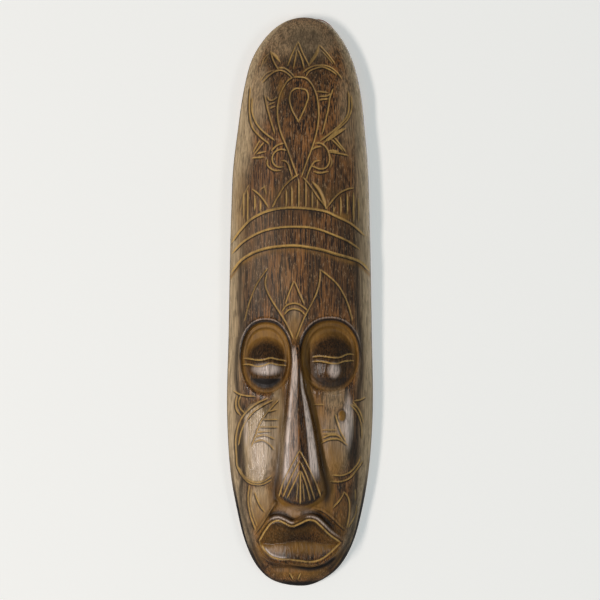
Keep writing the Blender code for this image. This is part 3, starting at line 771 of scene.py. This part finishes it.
# Ovals rubbed almost white, in the same way. These too carry part of the photo's highlights.
WORN_AND_HIGHLIGHT_PATCHES = [
    (-29.0, 191.5, 14.0, 6.0, 0.8),
    (29.6, 190.5, 6.0, 7.5, 0.75),
    (42.0, 146.0, 5.0, 26.0, 0.95),
    (38.0, 141.0, 6.0, 9.0, 0.5),
    (-47.0, 138.0, 2.6, 16.0, 0.4),
    (-33.0, 120.0, 13.0, 30.0, 0.3),
    (-4.0, 67.5, 20.0, 6.0, 0.22),
    (-21.0, 122.0, 4.5, 34.0, 0.15),
]


def stain_patches(face):
    """The ovals of each tone, the pale sides, and the dark edge that runs round the chin."""
    patches = {"ochre": OCHRE_PATCHES, "dark": DARK_PATCHES, "pale": PALE_AND_SHEEN_PATCHES, "worn": WORN_AND_HIGHLIGHT_PATCHES}
    for name, table in patches.items():
        for *place, strength in table:
            inside = 1 - step(0.35, 1.15, oval(face.x, face.h, *place))
            face.tint(name, strength * inside)
    face.tint("polish", 0.15 * (1 - step(320, 345, face.h)))
    from_middle = np.abs(face.u)
    face.tint("pale", step(0.72, 0.95, from_middle) * step(12, 45, face.h))
    face.tint("dark", 0.85 * step(0.985, 0.998, from_middle))
    face.tint("dark", 0.95 * step(0.86, 0.94, from_middle) * (1 - step(26, 56, face.h)))
    face.tint("dark", 1 - step(3.0, 7.0, face.h))
    face.tint("dark", step(0.94, 0.97, from_middle) * (1 - step(70, 130, face.h)))


def carve_face(x, h, u):
    """The whole front. Some steps wipe off earlier stain and painted shade, so their order matters."""
    face = Surface(x, h, u)
    carve_eyes(face)
    carve_nose(face)
    carve_cheeks(face)
    carve_mouth(face)
    carve_under_nose(face)
    sink_headband(face)
    carve_lines(face)
    stain_patches(face)
    wear_shade_and_highlight_nose(face)
    carve_knot(face)
    face.relief -= face.cut
    return face


def section_places(count):
    """Places across the mask, from -1 to 1, evenly spaced along the cross-section's length."""
    fine = np.sin(np.linspace(-math.pi / 2, math.pi / 2, 4001))
    length = np.concatenate([[0.0], np.cumsum(np.hypot(np.diff(fine), 0.6 * np.diff(across(fine))))])
    return np.interp(np.linspace(0, length[-1], count), length, fine)


def row_heights():
    """Even rows that crowd together at both round ends."""
    ends = 1 - np.cos(np.linspace(0, math.pi / 2, END_ROWS + 1)[:-1])
    high = HEIGHT - CROWN_END
    middle = np.linspace(CHIN_END, high, int((high - CHIN_END) / SPACING) + 1)
    return np.concatenate([CHIN_END * ends, middle, HEIGHT - CROWN_END * ends[::-1]])


def inside_outline(u, h, scale=1.0):
    """x of the places u across the mask, where u is -1 on the outline's left edge and 1 on its right."""
    left = scale * round_ended(OUTLINE, 1, h)
    right = scale * round_ended(OUTLINE, 2, h)
    return (left + right) / 2 + (right - left) / 2 * u


def front_sheet(rows):
    """The carved front, left to right, with the tones of each of its points."""
    u, h = np.meshgrid(section_places(int(FRONT_GIRTH / SPACING)), rows)
    x = inside_outline(u, h)
    edge = rim_ease(h) + RIM_ROUND
    plain = edge + (np.maximum(round_ended(CROWN, 1, h), edge) - edge) * across(u)
    face = carve_face(x.ravel(), h.ravel(), u.ravel())
    carved = face.relief.reshape(h.shape) * (1 - step(0.90, 0.99, np.abs(u)))
    tones = {name: values.reshape(h.shape) for name, values in face.tones.items()}
    return to_frame(x, plain + carved, h), tones


def gouge_marks(x, h):
    """Shallow flutes left by a gouge that worked along the grain, in strokes of uneven length."""
    lane = x / 8.5 + 0.25 * np.sin(h / 41.0)
    flute = np.abs(np.sin(math.pi * lane))
    stroke = np.abs(np.sin(math.pi * (h / 46.0 + 0.37 * np.floor(lane))))
    return 0.8 * flute + 0.5 * stroke


def hollow_sheet(rows):
    """The hollow in the back, right to left, so that it follows on from the front."""
    u, outer_h = np.meshgrid(section_places(int(HOLLOW_GIRTH / HOLLOW_SPACING))[::-1], rows)
    x = inside_outline(u, outer_h, 1 - 2 * RIM_WIDTH / WIDTH)
    h = RIM_WIDTH + outer_h * (HEIGHT - 2 * RIM_WIDTH) / HEIGHT
    ease = rim_ease(h)
    deep = HOLLOW_DEPTH * np.sqrt(np.clip(1 - (2 * outer_h / HEIGHT - 1) ** 4, 0, 1))
    deep = np.maximum(deep - 0.35 * ease, 0.0)
    marks = gouge_marks(x, h) * np.minimum(deep * across(u) / 6, 1)
    return to_frame(x, ease + RIM_ROUND + deep * across(u) - marks, h)


def rim_strip(start, end):
    """The back rim between the outline and the hollow's edge, its two edges worn round."""
    t = np.array(RIM_PLACES)
    strip = start[:, None] * (1 - t[:, None]) + end[:, None] * t[:, None]
    from_edge = np.clip(np.minimum(t, 1 - t) / RIM_PLACES[3], 0, 1)
    strip[:, :, 1] += RIM_ROUND / 1000 * np.sqrt(1 - (1 - from_edge) ** 2)
    return strip


def ring_numbers(rows, front, strip, hollow):
    """Point numbers on the closed rings; on the first and last ring the two sides run together."""
    count = front + hollow + 2 * strip
    numbers = np.arange(rows * count).reshape(rows, count)
    for row in (0, rows - 1):
        numbers[row, :front] = numbers[row, 0]
        numbers[row, front + strip:front + strip + hollow] = numbers[row, front + strip]
        numbers[row, -strip:] = numbers[row, front:front + strip][::-1]
    return numbers


def ring_faces(numbers):
    """Quads between neighbouring rings, or triangles where points of an end ring run together."""
    after = np.roll(numbers, -1, axis=1)
    quads = np.stack([numbers[:-1], after[:-1], after[1:], numbers[1:]], axis=-1)
    faces = quads[1:-1].reshape(-1, 4).tolist()
    for quad in np.concatenate([quads[0], quads[-1]]).tolist():
        corners = list(dict.fromkeys(quad))
        if len(corners) > 2:
            faces.append(corners)
    return faces


def add_object(name, data):
    made = bpy.data.objects.new(name, data)
    bpy.context.scene.collection.objects.link(made)
    return made


def store(mesh, name, values):
    """Gives each point of the mesh a number that the material can read."""
    mesh.attributes.new(name, "FLOAT", "POINT").data.foreach_set("value", values)


def build_mask():
    """One closed mesh of rings, each over the front, the right rim, the hollow and the left rim."""
    rows = row_heights()
    front, tones = front_sheet(rows)
    hollow = hollow_sheet(rows)
    right = rim_strip(front[:, -1], hollow[:, 0])
    left = rim_strip(hollow[:, -1], front[:, 0])
    rings = np.concatenate([front, right, hollow, left], axis=1)
    numbers = ring_numbers(len(rows), front.shape[1], len(RIM_PLACES), hollow.shape[1])
    used, renumbered = np.unique(numbers, return_inverse=True)
    mesh = bpy.data.meshes.new("carved_mask")
    mesh.from_pydata(rings.reshape(-1, 3)[used], [], ring_faces(renumbered.reshape(numbers.shape)))
    mesh.shade_smooth()
    behind = ((0, 0), (0, rings.shape[1] - front.shape[1]))
    for name, values in tones.items():
        store(mesh, name, np.pad(values, behind).ravel()[used])
    back = np.pad(np.zeros(front.shape[:2]), behind, constant_values=1.0)
    store(mesh, "back", back.ravel()[used])
    mesh.materials.append(wood_material())
    mask = add_object("carved_mask", mesh)
    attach(mask, "mask")
    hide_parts("mask_body")


def rgb(red, green, blue):
    """A screen colour, 0 to 255, as the linear colour that a shader takes."""
    linear = [((c / 255 + 0.055) / 1.055) ** 2.4 if c > 10 else c / 255 / 12.92 for c in (red, green, blue)]
    return (*linear, 1.0)


class Nodes:
    """Short names for the nodes that the materials here are made of."""

    def __init__(self, name):
        self.material = bpy.data.materials.new(name)
        self.material.use_nodes = True
        self.tree = self.material.node_tree
        self.shader = self.tree.nodes["Principled BSDF"]
        self.place = self.tree.nodes.new("ShaderNodeTexCoord").outputs["Object"]

    def link(self, value, socket):
        """Joins another node's output to the socket, or sets it to a plain value."""
        if isinstance(value, bpy.types.NodeSocket):
            self.tree.links.new(value, socket)
        else:
            socket.default_value = value

    def add(self, kind, inputs):
        made = self.tree.nodes.new("ShaderNode" + kind)
        for name, value in inputs.items():
            self.link(value, made.inputs[name])
        return made

    def noise(self, scale, detail=4.0, roughness=0.55):
        """Noise in the object's own frame, with about so many cells a metre along each axis."""
        place = self.add("Mapping", {"Scale": scale, "Vector": self.place}).outputs["Vector"]
        inputs = {"Scale": 1.0, "Detail": detail, "Roughness": roughness, "Vector": place}
        return self.add("TexNoise", inputs).outputs["Fac"]

    def attribute(self, name):
        made = self.add("Attribute", {})
        made.attribute_name = name
        return made.outputs["Fac"]

    def ramp(self, value, low, high, bottom=0.0, top=1.0):
        """Runs smoothly from bottom, where the value is low, to top, where it is high."""
        inputs = {"Value": value, "From Min": low, "From Max": high, "To Min": bottom, "To Max": top}
        made = self.add("MapRange", inputs)
        made.interpolation_type = "SMOOTHSTEP"
        return made.outputs["Result"]

    def math(self, operation, first, second):
        made = self.add("Math", {0: first, 1: second})
        made.operation = operation
        made.use_clamp = operation == "ADD"  # a sum stays between 0 and 1
        return made.outputs[0]

    def mix(self, amount, first, second):
        made = self.add("Mix", {})
        made.data_type = "RGBA"
        self.link(amount, made.inputs["Factor"])
        self.link(first, made.inputs["A"])
        self.link(second, made.inputs["B"])
        return made.outputs["Result"]

    def bump(self, height, strength, distance, under=None):
        made = self.add("Bump", {"Strength": strength, "Distance": distance, "Height": height})
        if under:
            self.link(under, made.inputs["Normal"])
        return made.outputs["Normal"]


def wood_colour(nodes, grain, mottle, speckle, spots, painted_glints):
    """Brown stain over grain, ochre where the wood was cut bare, and near black stain and painted shade."""
    streaks = nodes.ramp(grain, 0.42, 0.59)
    body = nodes.mix(streaks, rgb(34, 19, 8), rgb(156, 106, 55))
    body = nodes.mix(nodes.ramp(mottle, 0.36, 0.58, 0.65, 0.0), body, rgb(52, 40, 22))
    # Painted glints: small pale flecks in place of sparkles of light.
    body = nodes.mix(painted_glints, body, rgb(206, 172, 130))
    # Pale wood, which on the cheeks also stands for painted sheen.
    pale = nodes.mix(streaks, rgb(166, 143, 108), rgb(212, 188, 148))
    rough = nodes.math("SUBTRACT", 1.0, nodes.attribute("polish"))
    stained = nodes.math("MULTIPLY", rough, nodes.ramp(spots, 0.34, 0.48, 0.42, 0.0))
    pale = nodes.mix(stained, pale, rgb(62, 58, 42))
    body = nodes.mix(nodes.attribute("pale"), body, pale)
    ochre = nodes.mix(speckle, rgb(98, 66, 20), rgb(190, 142, 62))
    cut_bare = nodes.math("MULTIPLY", nodes.attribute("ochre"), nodes.ramp(mottle, 0.2, 0.5, 0.6, 1.0))
    body = nodes.mix(cut_bare, body, ochre)
    # Dark stain, and painted shade in cuts, creases and hollows.
    body = nodes.mix(nodes.attribute("dark"), body, rgb(20, 12, 7))
    # Wood rubbed almost white, which also stands for painted highlights.
    worn = nodes.math("MULTIPLY", nodes.attribute("worn"), nodes.ramp(grain, 0.42, 0.52, 0.5, 1.0))
    body = nodes.mix(worn, body, rgb(244, 228, 216))
    line = nodes.mix(speckle, rgb(146, 108, 50), rgb(248, 208, 124))
    broken = nodes.math("MULTIPLY", nodes.attribute("line"), nodes.ramp(mottle, 0.34, 0.54, 0.5, 1.0))
    return nodes.mix(broken, body, line)


def wood_material():
    """Stained wood on the front, and plain unstained wood behind. Its grain runs up the mask."""
    nodes = Nodes("stained_wood")
    fine = nodes.noise((1150, 1150, 60), 2.0, 0.6)
    broad = nodes.noise((420, 420, 14), 3.0)
    grain = nodes.math("ADD", nodes.math("MULTIPLY", fine, 0.75), nodes.math("MULTIPLY", broad, 0.25))
    mottle = nodes.noise((60, 60, 16), 5.0, 0.6)
    speckle = nodes.noise((420, 420, 90), 3.0, 0.6)
    spots = nodes.noise((210, 210, 100), 3.0, 0.6)
    # Painted glints.
    painted_glints = nodes.ramp(nodes.noise((850, 850, 220), 2.0, 0.7), 0.56, 0.68, 0.0, 0.42)
    face_colour = wood_colour(nodes, grain, mottle, speckle, spots, painted_glints)
    bare_back = nodes.mix(mottle, rgb(120, 88, 58), rgb(168, 132, 92))
    bare_back = nodes.mix(nodes.ramp(grain, 0.5, 0.62, 0.0, 0.5), bare_back, rgb(70, 48, 32))
    colour = nodes.mix(nodes.attribute("back"), face_colour, bare_back)
    nodes.link(colour, nodes.shader.inputs["Base Color"])
    gloss = nodes.ramp(nodes.attribute("polish"), 0.0, 1.0, 0.55, 0.24)
    gloss = nodes.math("ADD", gloss, nodes.ramp(speckle, 0.3, 0.7, -0.06, 0.06))
    gloss = nodes.math("ADD", gloss, nodes.math("MULTIPLY", nodes.attribute("back"), 0.15))
    nodes.link(gloss, nodes.shader.inputs["Roughness"])
    pores = nodes.bump(grain, 0.6, 0.0008)
    nodes.link(nodes.bump(mottle, 0.2, 0.0012, pores), nodes.shader.inputs["Normal"])
    nodes.shader.inputs["Specular IOR Level"].default_value = 0.42
    return nodes.material


def metal_material(name, clean, worn, roughness):
    """Drawn wire or plated steel, dulled in patches."""
    nodes = Nodes(name)
    patches = nodes.noise((300, 300, 300), 3.0)
    nodes.link(nodes.mix(nodes.ramp(patches, 0.4, 0.65), clean, worn), nodes.shader.inputs["Base Color"])
    nodes.link(nodes.ramp(patches, 0.3, 0.7, roughness, roughness + 0.25), nodes.shader.inputs["Roughness"])
    nodes.link(nodes.bump(nodes.noise((2500, 2500, 2500)), 0.2, 0.00005), nodes.shader.inputs["Normal"])
    nodes.shader.inputs["Metallic"].default_value = 1.0
    return nodes.material


def dress_metal():
    wire = metal_material("copper_wire", rgb(205, 160, 145), rgb(150, 110, 95), 0.3)
    steel = metal_material("plated_steel", rgb(200, 196, 188), rgb(140, 128, 112), 0.28)
    for name, material in (("hanger_wire", wire), ("screw_eye_left", steel), ("screw_eye_right", steel)):
        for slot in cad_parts[name].material_slots:
            slot.material = material


def sheet_of(name, corners, material):
    """A flat sheet of the stage, which gives no reflections."""
    mesh = bpy.data.meshes.new(name)
    mesh.from_pydata(corners, [], [(0, 1, 2, 3)])
    mesh.materials.append(material)
    made = add_object(name, mesh)
    made.visible_glossy = False
    return made


def glowing_pale(name, colour, glow, strength):
    """A matt pale material that also gives off a little light, like the paper of a bright studio."""
    nodes = Nodes(name)
    nodes.shader.inputs["Base Color"].default_value = colour
    nodes.shader.inputs["Roughness"].default_value = 0.9
    nodes.shader.inputs["Emission Color"].default_value = glow
    nodes.shader.inputs["Emission Strength"].default_value = strength
    return nodes


def clear_from_behind(nodes):
    """Makes the back of a sheet invisible."""
    back = nodes.add("NewGeometry", {}).outputs["Backfacing"]
    clear = nodes.add("BsdfTransparent", {}).outputs[0]
    choice = nodes.add("MixShader", {0: back, 1: nodes.shader.outputs[0], 2: clear})
    nodes.link(choice.outputs[0], nodes.tree.nodes["Material Output"].inputs["Surface"])


def build_wall():
    """A pale wall that shows only its front, so the back of the mask can be seen."""
    pale = glowing_pale("pale_wall", rgb(236, 235, 231), rgb(229, 238, 240), 0.43)
    clear_from_behind(pale)
    far = 1.6
    wall_y = RIM_Y + 0.0006
    corners = [(-far, wall_y, FLOOR_Z), (far, wall_y, FLOOR_Z), (far, wall_y, far), (-far, wall_y, far)]
    wall = sheet_of("wall", corners, pale.material)
    wall.visible_shadow = False


def build_floor():
    pale = glowing_pale("pale_floor", rgb(200, 199, 196), rgb(236, 235, 231), 0.6)
    far = 12.0
    corners = [(-far, -far, FLOOR_Z), (far, -far, FLOOR_Z), (far, far, FLOOR_Z), (-far, far, FLOOR_Z)]
    floor = sheet_of("floor", corners, pale.material)
    floor.visible_diffuse = False


def area_light(name, place, size, power, colour):
    """A soft light, size[0] wide and size[1] tall, aimed at the middle of the mask."""
    data = bpy.data.lights.new(name, "AREA")
    data.shape = "RECTANGLE"
    data.size = size[0]
    data.size_y = size[1]
    data.energy = power
    data.color = colour
    made = add_object(name, data)
    made.location = place
    target = np.array([0.0, 0.0, CHIN_Z + HEIGHT / 2000])
    away = np.array(place) - target
    flat = math.hypot(away[0], away[1])
    made.rotation_euler = (math.atan2(flat, away[2]), 0.0, math.atan2(away[1], away[0]) + math.pi / 2)
    made.visible_camera = False


def build_lights():
    area_light("key", (-2.6, -3.1, -1.0), (0.4, 1.8), 85.0, (0.965, 0.866, 0.813))
    area_light("fill", (2.4, -3.2, -0.9), (0.5, 1.8), 14.0, (0.92, 0.975, 1.0))
    area_light("back", (0.8, 2.0, 0.6), (1.5, 1.5), 25.0, (1.0, 1.0, 1.0))


def build_world():
    """A pale room that is brighter to look at than in the light it gives."""
    world = bpy.data.worlds.new("pale_room")
    world.use_nodes = True
    tree = world.node_tree
    background = tree.nodes["Background"]
    background.inputs["Color"].default_value = (0.9, 0.9, 0.89, 1.0)
    strength = tree.nodes.new("ShaderNodeMapRange")
    strength.inputs["To Min"].default_value = 0.20  # what lights the mask
    strength.inputs["To Max"].default_value = 0.9  # what shows behind it
    tree.links.new(tree.nodes.new("ShaderNodeLightPath").outputs["Is Camera Ray"], strength.inputs["Value"])
    tree.links.new(strength.outputs["Result"], background.inputs["Strength"])
    bpy.context.scene.world = world


def build_camera():
    """Level with the middle of the mask and straight in front of it."""
    sensor = 36.0
    distance = 3.0
    view_width = 0.528
    view_height = 0.2517  # above the chin
    data = bpy.data.cameras.new("camera")
    data.sensor_width = sensor
    data.lens = sensor * distance / view_width
    data.clip_end = 100.0
    camera = add_object("camera", data)
    camera.location = (0.0, -distance, CHIN_Z + view_height)
    camera.rotation_euler = (math.pi / 2, 0.0, 0.0)
    bpy.context.scene.camera = camera


build_camera()
build_wall()
build_floor()
build_lights()
build_world()
build_mask()
dress_metal()
bpy.context.scene.view_settings.view_transform = "Standard"
